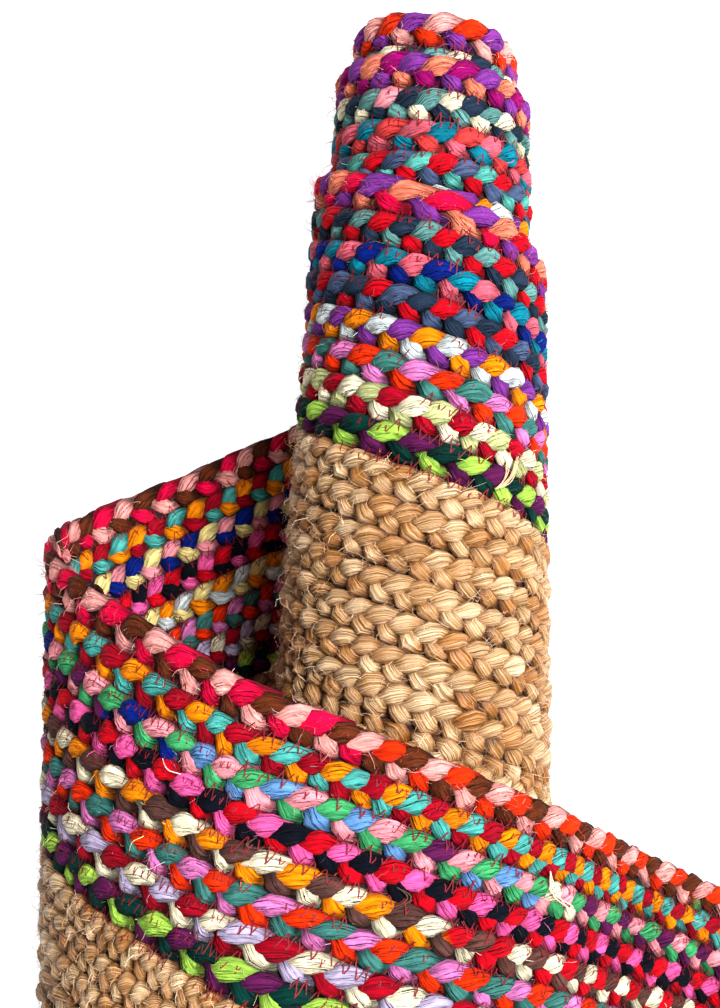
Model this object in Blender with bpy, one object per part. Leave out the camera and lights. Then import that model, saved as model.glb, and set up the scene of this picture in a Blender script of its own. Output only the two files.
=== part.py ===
"""A braided rug lying on its rolled side, with its outer turn pulled loose.

Eight rounds of braided cotton rag are sewn round a field of braided jute. The rug is laid out
flat first, in (u, v): u runs along the rug and v from its upper long edge to its lower one.
It is then spread askew on the rolling plane, in (s, y): s is the way round the roll and y runs
along the roll's axis. Last it is rolled up: each ruling, a line of equal s, keeps straight.
"""

import math

import bmesh
import bpy
import numpy as np

# The rug laid flat, in metres
WIDTH = 0.600
LENGTH = 2.400
ROW = 0.020  # width of one braid
THICKNESS = 0.0085
SEAM = 0.0003  # gap between one round and the next
COTTON_ROUNDS = 8
OUTER_CORNER = 0.045  # radius at the rug's corners
TIGHT_CORNER = 0.006  # least radius at which a braid turns a corner
CORNER_STEPS = 2

# The roll, seen along its axis: x to the right, z up, wound clockwise
ROLL_RADIUS = 0.0740  # middle of the cloth where it leaves the roll, at the roll's bottom
TURN_PITCH = 0.0094  # from one turn to the next
TURNS = 4.0
BULGE_RADIUS = 0.080
BULGE_REACH = 0.165  # from the roll's axis to the middle of the bulge
OVER_RADIUS = 0.220  # the long arch from the bulge to the roll
HUG_RADIUS = 0.0812
DRAPE_ANGLE = math.radians(42)
LANDING_RADIUS = 0.080
LOOSE_RUN = 0.246  # flat on the floor at the loose end
TURN_FACETS = 12
BEND_STEP = math.radians(22)
RUN_STEP = 0.060  # a straight run on the floor is divided too, where the slack bends it sideways

# The skew of the rug on the rolling plane
SKEW = 0.425  # fall of the upper edge for each metre of the loose turn
# The upper edge on the roll: turns inward from the roll's bottom, and its height there.
# A height is measured along the roll's axis.
EDGE = (
    (0.00, 0.1310),
    (0.25, 0.1830),
    (0.50, 0.2270),
    (0.75, 0.2560),
    (1.25, 0.2970),
    (1.75, 0.3240),
    (2.25, 0.3340),
    (2.60, 0.3480),
    (3.50, 0.3490),
    (4.50, 0.3490),
)
# The same edge on the loose turn: metres outward from the roll's bottom, and its rise there
# above a straight skew line
LOOSE_EDGE = (
    (0.08, 0.0000),
    (0.20, 0.0050),
    (0.32, 0.0120),
    (0.42, 0.0170),
    (0.54, 0.0160),
    (0.62, 0.0105),
    (0.68, 0.0060),
    (0.76, 0.0030),
    (0.90, 0.0010),
    (1.00, 0.0000),
)
# The rows spread at the bulge and draw together past it. By metres outward from the roll's
# bottom: rise for each metre in from the upper edge, as far in as GATHER_REACH
GATHER = (
    (0.00, 0.000),
    (0.20, 0.000),
    (0.40, -0.065),
    (0.50, 0.025),
    (0.56, 0.065),
    (0.62, 0.045),
    (0.80, 0.045),
    (1.12, 0.000),
)
GATHER_REACH = 0.150
TOP_EDGE = 2.470  # the upper edge's length, a little over LENGTH because the rug fans out
FAN_START = -0.12  # here and further out the rug lies square to its loose edge
FAN_END = -1.35
FAN_ANGLE = math.radians(10)  # of the rug's inner end against the roll's axis
MARCH = 0.002  # step in which the edge is followed
HALVINGS = 40  # of a length, to find where an edge crosses a ruling
ROUNDING = 0.01  # share of a step by which a bend may go over a whole number of steps
SAME_POINT = 1e-6
SLIVER = 1e-5  # a cut this near a corner goes through the corner

# The roll is slacker lower down: its left side moves out evenly between two heights
SLACK = 0.054
SLACK_FROM = 0.330
SLACK_TO = -0.350
SLACK_RIGHT = 0.080  # nothing moves right of this
SLACK_PEAK = -0.080
SLACK_LEFT = -0.220  # nor left of this

# Where the rug's box has its middle: from the roll's axis, and as a height
MIDDLE_X = 0.1070
MIDDLE_Y = -0.2656

COTTON_ROUGHNESS = 0.85
JUTE_ROUGHNESS = 0.7
# Main colour of each cotton round, outermost first
ROUND_COLOURS = (
    (0.80, 0.22, 0.25),
    (0.60, 0.05, 0.12),
    (0.05, 0.16, 0.35),
    (0.75, 0.03, 0.25),
    (0.85, 0.50, 0.12),
    (0.75, 0.25, 0.45),
    (0.80, 0.75, 0.55),
    (0.15, 0.55, 0.10),
)
JUTE_COLOUR = (0.48, 0.28, 0.12)


# --- the section of the roll, seen along its axis ---


def spiral_length(turned):
    """Length of cloth from the roll's bottom inward, over an angle."""
    return ROLL_RADIUS * turned - TURN_PITCH * turned**2 / (4.0 * math.pi)


def spiral_angle(length):
    """The angle that a length of cloth takes, from the roll's bottom inward."""
    slope = TURN_PITCH / (2.0 * math.pi)
    return (ROLL_RADIUS - math.sqrt(ROLL_RADIUS**2 - 2.0 * slope * length)) / slope


def roll_height():
    return THICKNESS / 2.0 + ROLL_RADIUS


def loose_bends():
    """The loose turn from the roll's bottom to its end: (length, curvature), clockwise positive."""
    bulge = (-BULGE_REACH, THICKNESS / 2.0 + BULGE_RADIUS)
    roll = (0.0, roll_height())
    apart = math.dist(bulge, roll)
    to_bulge = OVER_RADIUS - BULGE_RADIUS
    to_roll = OVER_RADIUS - HUG_RADIUS
    along = (apart**2 + to_bulge**2 - to_roll**2) / (2.0 * apart)
    below = math.sqrt(to_bulge**2 - along**2)
    way = ((roll[0] - bulge[0]) / apart, (roll[1] - bulge[1]) / apart)
    over = (
        bulge[0] + along * way[0] + below * way[1],
        bulge[1] + along * way[1] - below * way[0],
    )
    leaves = math.atan2(bulge[0] - over[0], bulge[1] - over[1])
    meets = math.atan2(roll[0] - over[0], roll[1] - over[1])
    drop = roll[1] + HUG_RADIUS * math.cos(DRAPE_ANGLE) - THICKNESS / 2.0
    drop -= LANDING_RADIUS * (1.0 - math.cos(DRAPE_ANGLE))
    return (
        (BULGE_REACH, 0.0),
        ((math.pi + leaves) * BULGE_RADIUS, 1.0 / BULGE_RADIUS),
        ((meets - leaves) * OVER_RADIUS, 1.0 / OVER_RADIUS),
        ((DRAPE_ANGLE - meets) * HUG_RADIUS, 1.0 / HUG_RADIUS),
        (drop / math.sin(DRAPE_ANGLE), 0.0),
        (DRAPE_ANGLE * LANDING_RADIUS, -1.0 / LANDING_RADIUS),
        (LOOSE_RUN, 0.0),
    )


def section_point(s):
    """(x, z) of the middle of the cloth at s, which is 0 at the roll's bottom."""
    if s < 0.0:
        turned = spiral_angle(-s)
        radius = ROLL_RADIUS - TURN_PITCH * turned / (2.0 * math.pi)
        return radius * math.sin(turned), roll_height() - radius * math.cos(turned)
    x, z, heading = 0.0, THICKNESS / 2.0, math.pi
    for length, curvature in loose_bends():
        run = min(s, length)
        if curvature:
            after = heading - run * curvature
            x += (math.sin(heading) - math.sin(after)) / curvature
            z += (math.cos(after) - math.cos(heading)) / curvature
            heading = after
        else:
            x += run * math.cos(heading)
            z += run * math.sin(heading)
        s -= run
        if s <= 0.0:
            break
    return x, z


def rulings():
    """Each s at which the faceted cloth bends."""
    steps = round(TURNS * TURN_FACETS)
    found = [
        -spiral_length(2.0 * math.pi * i / TURN_FACETS) for i in range(steps, 0, -1)
    ]
    at = 0.0
    found.append(at)
    for length, curvature in loose_bends():
        parts = max(1, math.ceil(abs(length * curvature) / BEND_STEP - ROUNDING))
        if at == 0.0:
            parts = math.ceil(length / RUN_STEP)
        found += [at + length * (i + 1) / parts for i in range(parts)]
        at += length
    return found


def faceted_section(stops):
    """For each ruling: the middle of the cloth, and the mitred way out to its outer face."""
    points = [np.array(section_point(s)) for s in stops]
    normals = []
    for a, b in zip(points, points[1:]):
        run = (b - a) / np.linalg.norm(b - a)
        normals.append(np.array((-run[1], run[0])))
    mitres = []
    for before, after in zip(normals[:1] + normals, normals + normals[-1:]):
        mitres.append((before + after) / (1.0 + before @ after))
    return np.array(points), np.array(mitres)


# --- the rug on the rolling plane ---


def edge_rows():
    """The two tables' rows as (s, height), from the innermost outward and on to the loose end."""
    rows = [(-spiral_length(2.0 * math.pi * turns), height) for turns, height in EDGE]
    end = sum(length for length, _ in loose_bends())
    loose = [(s, EDGE[0][1] - SKEW * s + rise) for s, rise in (*LOOSE_EDGE, (end, 0.0))]
    return rows[::-1] + loose


def smooth_at(rows, s):
    """(value, slope) at s of a smooth curve through the rows of a table."""
    places = [row[0] for row in rows]
    heights = [row[1] for row in rows]
    i = min(max(int(np.searchsorted(places, s)) - 1, 0), len(rows) - 2)
    falls = np.diff(heights) / np.diff(places)
    spans = np.diff(places)

    def tangent(j):
        if j == 0 or j >= len(rows) - 2:
            return falls[min(j, len(falls) - 1)]
        a, b = spans[j - 1], spans[j]
        return (falls[j - 1] * b + falls[j] * a) / (a + b)

    span = spans[i]
    t = (s - places[i]) / span
    m0, m1 = tangent(i) * span, tangent(i + 1) * span
    rise = heights[i + 1] - heights[i]
    cubic, square = m0 + m1 - 2.0 * rise, 3.0 * rise - 2.0 * m0 - m1
    height = heights[i] + t * (m0 + t * (square + t * cubic))
    return height, (m0 + t * (2.0 * square + 3.0 * t * cubic)) / span


def followed_edge():
    """The upper edge from the rug's inner end to its loose end: arrays of u and s."""
    rows = edge_rows()
    gone, s = 0.0, rows[-1][0]
    found = [(0.0, s)]
    while gone < TOP_EDGE + MARCH:
        slope = smooth_at(rows, s)[1]
        s -= MARCH / math.sqrt(1.0 + slope**2)
        gone += MARCH
        found.append((gone, s))
    found = np.array(found[::-1])
    return (TOP_EDGE - found[:, 0]) * LENGTH / TOP_EDGE, found[:, 1], rows


def spread(edge, u, v):
    """(s, y) on the rolling plane for a point of the flat rug."""
    us, ss, rows = edge
    s = float(np.interp(u, us, ss))
    height, _ = smooth_at(rows, s)
    gathered, _ = smooth_at(GATHER, min(max(s, GATHER[0][0]), GATHER[-1][0]))
    height += gathered * min(v, GATHER_REACH)
    square = math.atan(SKEW)
    part = min(max((s - FAN_END) / (FAN_START - FAN_END), 0.0), 1.0)
    lean = FAN_ANGLE + (square - FAN_ANGLE) * part
    return s - v * math.sin(lean), height - v * math.cos(lean)


def crossing(edge, s, v):
    """The u at which a line of equal v crosses the ruling at s."""
    low, high = -MARCH, LENGTH
    for _ in range(HALVINGS):
        middle = (low + high) / 2.0
        if spread(edge, middle, v)[0] < s:
            low = middle
        else:
            high = middle
    return (low + high) / 2.0


# --- flat outlines ---


def corner_radius(inset):
    return max(OUTER_CORNER - inset, TIGHT_CORNER)


def end_points(inset, far):
    """A short side with its two corners, from the upper long side to the lower one."""
    radius = corner_radius(inset)
    points = []
    for lower in (False, True):
        for i in range(CORNER_STEPS + 1):
            angle = math.pi / 2.0 * i / CORNER_STEPS
            across, down = math.sin(angle), math.cos(angle)
            if lower:
                across, down = down, -math.sin(angle)
            u = inset + radius * (1.0 - across)
            v = inset + radius * (1.0 - down)
            if lower:
                v = WIDTH - inset - radius * (1.0 + down)
            points.append((LENGTH - u if far else u, v))
    return points


def side_points(edge, stops, inset, reach, lower):
    """Where a long side crosses the rulings that lie well between the rug's two ends."""
    v = WIDTH - inset if lower else inset
    found = {}
    for k, s in enumerate(stops):
        u = crossing(edge, s, v)
        if reach < u < LENGTH - reach:
            found[k] = (u, v)
    return found


def flat_ring(edge, stops, outer, inner):
    """A closed ring between two insets, as quads that run from ruling to ruling."""
    reach = inner + corner_radius(inner) + SEAM
    loops = []
    sides = [
        [side_points(edge, stops, inset, reach, lower) for inset in (outer, inner)]
        for lower in (False, True)
    ]
    shared = [sorted(set(a) & set(b)) for a, b in sides]
    for n, inset in enumerate((outer, inner)):
        upper = [sides[0][n][k] for k in shared[0]]
        lower = [sides[1][n][k] for k in reversed(shared[1])]
        near = end_points(inset, False)
        loops.append(upper + end_points(inset, True) + lower + near[::-1])
    count = len(loops[0])
    faces = []
    for i in range(count):
        j = (i + 1) % count
        faces.append((loops[0][i], loops[0][j], loops[1][j], loops[1][i]))
    return faces


def flat_field(edge, stops, inset):
    """The field inside an inset: a quad from ruling to ruling, and one face at each end."""
    reach = inset + corner_radius(inset) + SEAM
    upper = side_points(edge, stops, inset, reach, False)
    lower = side_points(edge, stops, inset, reach, True)
    shared = sorted(set(upper) & set(lower))
    faces = [
        (upper[a], upper[b], lower[b], lower[a]) for a, b in zip(shared, shared[1:])
    ]
    first, last = shared[0], shared[-1]
    near = [upper[k] for k in sorted(upper) if k <= first]
    near += [lower[k] for k in sorted(lower, reverse=True) if k <= first]
    faces.append((*near, *end_points(inset, False)[::-1]))
    far = [lower[k] for k in sorted(lower, reverse=True) if k >= last]
    far += [upper[k] for k in sorted(upper) if k >= last]
    faces.append((*far, *end_points(inset, True)))
    return faces


# --- from flat faces to a rolled solid ---


def cut_at_rulings(edge, stops, faces):
    """A flat mesh on the rolling plane, cut wherever the cloth bends."""
    mesh = bmesh.new()
    for face in faces:
        corners = [mesh.verts.new((*spread(edge, u, v), 0.0)) for u, v in face]
        mesh.faces.new(corners)
    bmesh.ops.remove_doubles(mesh, verts=mesh.verts, dist=SAME_POINT)
    for s in stops:
        bmesh.ops.bisect_plane(
            mesh,
            geom=[*mesh.verts, *mesh.edges, *mesh.faces],
            dist=SLIVER,
            plane_co=(s, 0.0, 0.0),
            plane_no=(1.0, 0.0, 0.0),
        )
    bmesh.ops.bisect_plane(
        mesh,
        geom=[*mesh.verts, *mesh.edges, *mesh.faces],
        dist=SLIVER,
        plane_co=(0.0, SLACK_TO, 0.0),
        plane_no=(0.0, 1.0, 0.0),
    )
    bmesh.ops.dissolve_degenerate(mesh, edges=mesh.edges, dist=SLIVER)
    bmesh.ops.triangulate(mesh, faces=mesh.faces)
    bmesh.ops.recalc_face_normals(mesh, faces=mesh.faces)
    if sum(face.normal.z for face in mesh.faces) < 0.0:
        bmesh.ops.reverse_faces(mesh, faces=mesh.faces)
    return mesh


def slackened(x, y):
    """x with the roll's slack taken in."""
    depth = SLACK * min((SLACK_FROM - y) / (SLACK_FROM - SLACK_TO), 1.0)
    from_right = (SLACK_RIGHT - x) / (SLACK_RIGHT - SLACK_PEAK)
    from_left = (x - SLACK_LEFT) / (SLACK_PEAK - SLACK_LEFT)
    return x - depth * max(min(from_right, from_left), 0.0)


def rolled_solid(name, mesh, stops, section):
    """The flat mesh, given its thickness and rolled up."""
    middles, mitres = section
    solid = bmesh.new()
    skins = []
    for side in (-1.0, 1.0):
        skin = {}
        for vert in mesh.verts:
            s, y = vert.co.x, vert.co.y
            middle = [np.interp(s, stops, middles[:, i]) for i in (0, 1)]
            mitre = [np.interp(s, stops, mitres[:, i]) for i in (0, 1)]
            x = middle[0] + side * THICKNESS / 2.0 * mitre[0]
            z = middle[1] + side * THICKNESS / 2.0 * mitre[1]
            place = (slackened(x, y) - MIDDLE_X, y - MIDDLE_Y, z)
            skin[vert] = solid.verts.new(place)
        skins.append(skin)
    inner, outer = skins
    for face in mesh.faces:
        corners = list(face.verts)
        solid.faces.new([outer[v] for v in corners])
        solid.faces.new([inner[v] for v in reversed(corners)])
    for edge in mesh.edges:
        if len(edge.link_loops) == 1:
            a = edge.link_loops[0].vert
            b = edge.other_vert(a)
            # The same diagonal on both walls of a seam keeps its gap even.
            if a.co.x < b.co.x:
                solid.faces.new((inner[a], inner[b], outer[b]))
                solid.faces.new((inner[a], outer[b], outer[a]))
            else:
                solid.faces.new((inner[a], inner[b], outer[a]))
                solid.faces.new((inner[b], outer[b], outer[a]))
    data = bpy.data.meshes.new(name)
    solid.to_mesh(data)
    solid.free()
    thing = bpy.data.objects.new(name, data)
    bpy.context.collection.objects.link(thing)
    return thing


def finish(thing, colour, roughness):
    material = bpy.data.materials.new(thing.name)
    material.use_nodes = True
    shader = material.node_tree.nodes["Principled BSDF"]
    shader.inputs["Base Color"].default_value = (*colour, 1.0)
    shader.inputs["Roughness"].default_value = roughness
    shader.inputs["Metallic"].default_value = 0.0
    thing.data.materials.append(material)


def main():
    for thing in list(bpy.data.objects):
        bpy.data.objects.remove(thing, do_unlink=True)
    edge = followed_edge()
    stops = rulings()
    section = faceted_section(stops)
    for i in range(COTTON_ROUNDS):
        outer = i * ROW + (SEAM / 2.0 if i else 0.0)
        inner = (i + 1) * ROW - SEAM / 2.0
        flat = cut_at_rulings(edge, stops, flat_ring(edge, stops, outer, inner))
        thing = rolled_solid(f"cotton_round_{i + 1}", flat, stops, section)
        finish(thing, ROUND_COLOURS[i], COTTON_ROUGHNESS)
    inset = COTTON_ROUNDS * ROW + SEAM / 2.0
    flat = cut_at_rulings(edge, stops, flat_field(edge, stops, inset))
    field = rolled_solid("jute_field", flat, stops, section)
    finish(field, JUTE_COLOUR, JUTE_ROUGHNESS)


main()
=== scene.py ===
"""A braided cotton and jute runner rug, rolled up askew and lying on a white studio floor.

Every braid, stitch and loose end is laid out on the flat rug, with u along the rug from its end in
the roll's core and v across it from its upper long edge. The flat rug is spread askew on a rolling
plane, with s along the roll's section and y along its axis, and the plane is rolled up."""

import math

import bpy
import numpy as np
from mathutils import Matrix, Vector


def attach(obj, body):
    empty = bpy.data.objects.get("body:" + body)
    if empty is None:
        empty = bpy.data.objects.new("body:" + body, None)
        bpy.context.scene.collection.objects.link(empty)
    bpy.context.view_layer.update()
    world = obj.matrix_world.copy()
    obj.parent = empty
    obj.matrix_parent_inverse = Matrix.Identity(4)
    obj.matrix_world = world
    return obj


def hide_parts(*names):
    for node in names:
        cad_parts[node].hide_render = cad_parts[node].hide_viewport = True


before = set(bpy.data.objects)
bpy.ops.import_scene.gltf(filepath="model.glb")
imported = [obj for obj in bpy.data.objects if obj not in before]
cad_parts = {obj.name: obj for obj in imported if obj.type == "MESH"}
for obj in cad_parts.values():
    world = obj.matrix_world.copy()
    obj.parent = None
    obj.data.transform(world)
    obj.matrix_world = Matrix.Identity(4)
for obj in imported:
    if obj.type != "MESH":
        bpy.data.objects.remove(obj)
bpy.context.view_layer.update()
scene = bpy.context.scene

# ---- the flat rug, in metres
LENGTH = 2.400
WIDTH = 0.600
ROW = 0.020
COTTON_ROUNDS = 8
JUTE_ROUNDS = 7
OUTER_CORNER = 0.045
TIGHT_CORNER = 0.007
CORNER_STEPS = 12
# The edge braid is fatter than the others and hangs over the edge line
EDGE_BRAID = 1.10
EDGE_BRAID_INSET = 0.0090
# The inmost braid fills the rug's middle line
INMOST_BRAID = 1.12
# Lengths along the rug are summed in steps of this
STEP = 0.001

# ---- the roll, in metres
THICKNESS = 0.0085
ROLL_RADIUS = 0.0740
TURN_PITCH = 0.0094
TURNS = 4.6
SPIRAL_POINTS = 4000
BULGE_RADIUS = 0.080
BULGE_REACH = 0.165
OVER_RADIUS = 0.220
HUG_RADIUS = 0.0812
DRAPE_ANGLE = math.radians(42)
LANDING_RADIUS = 0.080
LOOSE_RUN = 0.246
SKEW = 0.425
# Height of the rug's upper edge along the roll's axis, by turns inward from the roll's bottom
EDGE = (
    (0.0, 0.131), (0.25, 0.183), (0.5, 0.227), (0.75, 0.256), (1.25, 0.297),
    (1.75, 0.324), (2.25, 0.334), (2.6, 0.348), (3.5, 0.349), (4.5, 0.349),
)
# Rise of the same edge over a straight skew line, by metres outward from the roll's bottom
LOOSE_EDGE = (
    (0.08, 0.0), (0.2, 0.005), (0.32, 0.012), (0.42, 0.017), (0.54, 0.016),
    (0.62, 0.0105), (0.68, 0.006), (0.76, 0.003), (0.9, 0.001), (1.0, 0.0),
)
# The rows spread at the bulge and draw together past it. By metres outward from the roll's
# bottom: rise for each metre in from the upper edge, as far in as GATHER_REACH
GATHER = (
    (0.0, 0.0), (0.2, 0.0), (0.4, -0.065), (0.5, 0.025),
    (0.56, 0.065), (0.62, 0.045), (0.8, 0.045), (1.12, 0.0),
)
GATHER_REACH = 0.150
# Length of the upper edge as it winds, and how far along the section its inner end lies
TOP_EDGE = 2.470
INNER_END = -1.95
# Deeper inside the roll the rows lean less, from the skew at FAN_START to this at FAN_END
FAN_START = -0.12
FAN_END = -1.35
FAN_ANGLE = math.radians(10)
# The roll is slack, so its left side lies further out lower down: most at SLACK_TO along the axis
# and at SLACK_PEAK across it
SLACK = 0.054
SLACK_FROM = 0.330
SLACK_TO = -0.350
SLACK_RIGHT = 0.080
SLACK_PEAK = -0.080
SLACK_LEFT = -0.220
# The middle of the rug's box, which is the frame's origin
MIDDLE_X = 0.1070
MIDDLE_Y = -0.2656
# The map runs on past the loose end, for threads that stand out there
OVERHANG = 0.03
FLOOR_GAP = 0.0003


def loose_bends():
    """Length and curvature of each stretch of the loose turn, from the roll's bottom outward."""
    bulge = (-BULGE_REACH, THICKNESS / 2 + BULGE_RADIUS)
    roll = (0.0, THICKNESS / 2 + ROLL_RADIUS)
    apart = math.dist(bulge, roll)
    to_bulge = OVER_RADIUS - BULGE_RADIUS
    to_roll = OVER_RADIUS - HUG_RADIUS
    along = (apart**2 + to_bulge**2 - to_roll**2) / (2 * apart)
    below = math.sqrt(to_bulge**2 - along**2)
    way = ((roll[0] - bulge[0]) / apart, (roll[1] - bulge[1]) / apart)
    over = (bulge[0] + along * way[0] + below * way[1], bulge[1] + along * way[1] - below * way[0])
    leaves = math.atan2(bulge[0] - over[0], bulge[1] - over[1])
    meets = math.atan2(roll[0] - over[0], roll[1] - over[1])
    drop = roll[1] + HUG_RADIUS * math.cos(DRAPE_ANGLE) - THICKNESS / 2
    drop -= LANDING_RADIUS * (1 - math.cos(DRAPE_ANGLE))
    return (
        (BULGE_REACH, 0.0),
        ((math.pi + leaves) * BULGE_RADIUS, 1 / BULGE_RADIUS),
        ((meets - leaves) * OVER_RADIUS, 1 / OVER_RADIUS),
        ((DRAPE_ANGLE - meets) * HUG_RADIUS, 1 / HUG_RADIUS),
        (drop / math.sin(DRAPE_ANGLE), 0.0),
        (DRAPE_ANGLE * LANDING_RADIUS, -1 / LANDING_RADIUS),
        (LOOSE_RUN + OVERHANG, 0.0),
    )


LOOSE_END = sum(length for length, _ in loose_bends()) - OVERHANG


def wound_section():
    """The rug's middle line across the roll: metres along it, x, z and heading."""
    turned = np.linspace(2 * math.pi * TURNS, 0, SPIRAL_POINTS)
    radius = ROLL_RADIUS - TURN_PITCH * turned / (2 * math.pi)
    spiral = (
        -(ROLL_RADIUS * turned - TURN_PITCH * turned**2 / (4 * math.pi)),
        radius * np.sin(turned),
        THICKNESS / 2 + ROLL_RADIUS - radius * np.cos(turned),
        math.pi + turned,
    )
    parts = [spiral]
    gone, x, z, heading = 0.0, 0.0, THICKNESS / 2, math.pi
    for length, bend in loose_bends():
        run = np.linspace(0, length, max(2, int(length / STEP)))[1:]
        after = heading - run * bend
        if bend:
            xs = x + (math.sin(heading) - np.sin(after)) / bend
            zs = z + (np.cos(after) - math.cos(heading)) / bend
        else:
            xs = x + run * math.cos(heading)
            zs = z + run * math.sin(heading)
        parts.append((gone + run, xs, zs, after))
        gone, x, z, heading = gone + length, xs[-1], zs[-1], after[-1]
    return [np.concatenate(column) for column in zip(*parts)]


def edge_table():
    """Places along the section and the upper edge's height there."""
    wound = [
        (-(ROLL_RADIUS * 2 * math.pi * turns - TURN_PITCH * math.pi * turns**2), height)
        for turns, height in EDGE
    ]
    loose = [(s, EDGE[0][1] - SKEW * s + rise) for s, rise in (*LOOSE_EDGE, (LOOSE_END, 0.0))]
    return wound[::-1] + loose


def smooth_at(table, s):
    """Value and slope at s of a smooth curve through the rows of a table."""
    at, value = np.array(table).T
    spans = np.diff(at)
    falls = np.diff(value) / spans
    lean = np.empty(len(at))
    lean[0], lean[-2], lean[-1] = falls[0], falls[-1], falls[-1]
    lean[1:-2] = (falls[:-2] * spans[1:-1] + falls[1:-1] * spans[:-2]) / (spans[:-2] + spans[1:-1])
    i = np.clip(np.searchsorted(at, s) - 1, 0, len(at) - 2)
    span = spans[i]
    t, m0, m1, rise = (s - at[i]) / span, lean[i] * span, lean[i + 1] * span, falls[i] * span
    c, q = m0 + m1 - 2 * rise, 3 * rise - 2 * m0 - m1
    return value[i] + t * (m0 + t * (q + t * c)), (m0 + t * (2 * q + 3 * t * c)) / span


def edge_walk():
    """Lengths along the rug's upper edge from its inner end, and their places along the section."""
    dense = np.arange(LOOSE_END, INNER_END, -STEP)
    slope = smooth_at(EDGE_TABLE, dense)[1]
    walked = np.concatenate([[0], np.cumsum(STEP * np.sqrt(1 + slope[1:] ** 2))])
    lengths = (TOP_EDGE - walked) * LENGTH / TOP_EDGE
    past = LENGTH + OVERHANG * math.sqrt(1 + SKEW**2) * LENGTH / TOP_EDGE
    return np.append(lengths[::-1], past), np.append(dense[::-1], LOOSE_END + OVERHANG)


SECTION_S, SECTION_X, SECTION_Z, SECTION_HEADING = wound_section()
EDGE_TABLE = edge_table()
WALK_U, WALK_S = edge_walk()
WALK_HEIGHT = smooth_at(EDGE_TABLE, WALK_S)[0]


def spread(u, v):
    """Place along the section and height along the roll for a point of the flat rug."""
    s = np.interp(u, WALK_U, WALK_S)
    height = np.interp(u, WALK_U, WALK_HEIGHT)
    gathered = smooth_at(GATHER, np.clip(s, GATHER[0][0], GATHER[-1][0]))[0]
    height = height + gathered * np.minimum(v, GATHER_REACH)
    fanned = np.clip((s - FAN_END) / (FAN_START - FAN_END), 0, 1)
    lean = FAN_ANGLE + (math.atan(SKEW) - FAN_ANGLE) * fanned
    return s - v * np.sin(lean), height - v * np.cos(lean)


def rolled(u, v, out):
    """Points of the flat rug, out metres off its middle, as they lie in the roll."""
    s, y = spread(u, v)
    x = np.interp(s, SECTION_S, SECTION_X)
    z = np.interp(s, SECTION_S, SECTION_Z)
    heading = np.interp(s, SECTION_S, SECTION_HEADING)
    x = x - out * np.sin(heading)
    z = z + out * np.cos(heading)
    slack = SLACK * np.minimum((SLACK_FROM - y) / (SLACK_FROM - SLACK_TO), 1)
    right = (SLACK_RIGHT - x) / (SLACK_RIGHT - SLACK_PEAK)
    left = (x - SLACK_LEFT) / (SLACK_PEAK - SLACK_LEFT)
    x = x - slack * np.maximum(np.minimum(right, left), 0)
    return np.stack([x - MIDDLE_X, y - MIDDLE_Y, np.maximum(z, FLOOR_GAP)], -1)


# ---- dyes
def linear(hex_colour):
    """An sRGB hex colour as linear red, green and blue."""
    values = [int(hex_colour[i : i + 2], 16) / 255 for i in (1, 3, 5)]
    return tuple(c / 12.92 if c <= 0.04045 else ((c + 0.055) / 1.055) ** 2.4 for c in values)


DYES = dict(
    purple="#824094",
    plum_magenta="#9c1468",
    plum="#5a204c",
    orchid="#e084be",
    lavender="#bcaecc",
    navy="#1a2878",
    navy_black="#070a16",
    light_blue="#6e98cc",
    pale_blue="#d3dcdc",
    slate_blue="#4c5a79",
    dark_slate="#233042",
    teal_blue="#0a8099",
    dark_teal="#447a73",
    light_teal="#55a8a0",
    sage_teal="#649490",
    mint="#5eaca1",
    bottle_green="#04302a",
    green="#4ea66c",
    lime="#add964",
    pale_green="#c8cc90",
    cream="#f6eaca",
    pale_yellow="#f0dc96",
    amber="#ff8a04",
    peach="#f68f78",
    red_orange="#f33412",
    red="#d00219",
    crimson="#a6021d",
    cerise="#e6023e",
    coral_red="#d95656",
    rose_salmon="#e1707f",
    salmon_pink="#ffa4ae",
    light_pink="#fcaca6",
    hot_pink="#fa72ac",
    brown="#60301f",
    dark_brown="#5b3d38",
    grey_brown="#63403a",
)
JUTE_BROWN = "#bd8353"
JUTE_GOLD = "#fadab4"
THREAD_RED = "#780f1b"
# Painted shade: colour of the dark sheet in the braids' middle, which shows between the strands
SHADE_SHEET_DARK = "#2a1a1c"

# The three strips of each cotton round, edge round first, in the order their lobes come along the
# upper rows: the first dye, then the metres of rug from its inner end where the next is joined on
STRIPS = (
    (
        ("purple", (1.20, "brown")),
        ("light_pink", (0.40, "peach"), (1.20, "light_pink")),
        (
            "red_orange", (0.40, "plum_magenta"), (0.85, "cerise"), (1.03, "red"),
            (1.20, "cerise"), (1.81, "red_orange"), (2.09, "green"), (2.10, "red_orange"),
        ),
    ),
    (
        ("dark_slate", (1.20, "amber")),
        ("sage_teal", (1.20, "light_teal")),
        ("cream", (0.54, "salmon_pink"), (0.56, "cream"), (0.80, "red"), (1.20, "crimson")),
    ),
    (
        ("teal_blue", (1.20, "salmon_pink")),
        ("coral_red", (0.80, "rose_salmon"), (1.20, "pale_yellow"), (1.55, "green")),
        (
            "rose_salmon", (0.80, "navy"), (1.585, "plum"), (1.645, "navy"), (1.710, "light_blue"),
            (1.845, "plum"), (1.880, "light_blue"), (1.925, "cream"), (1.958, "plum"),
        ),
    ),
    (
        ("red",),
        ("slate_blue", (1.20, "hot_pink")),
        ("mint", (0.80, "dark_slate"), (1.20, "navy_black")),
    ),
    (
        ("amber", (1.885, "red"), (1.922, "cream"), (1.945, "red")),
        ("pale_blue", (1.20, "pale_yellow"), (1.52, "dark_brown"), (1.885, "grey_brown")),
        ("purple", (1.20, "pale_blue"), (1.52, "cream"), (1.90, "red"), (1.93, "cream")),
    ),
    (("red_orange",), ("dark_teal",), ("orchid",)),
    (("crimson",), ("cream",), ("pale_green", (1.20, "lavender"))),
    (("lime",), ("plum",), ("bottle_green",)),
)
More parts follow.
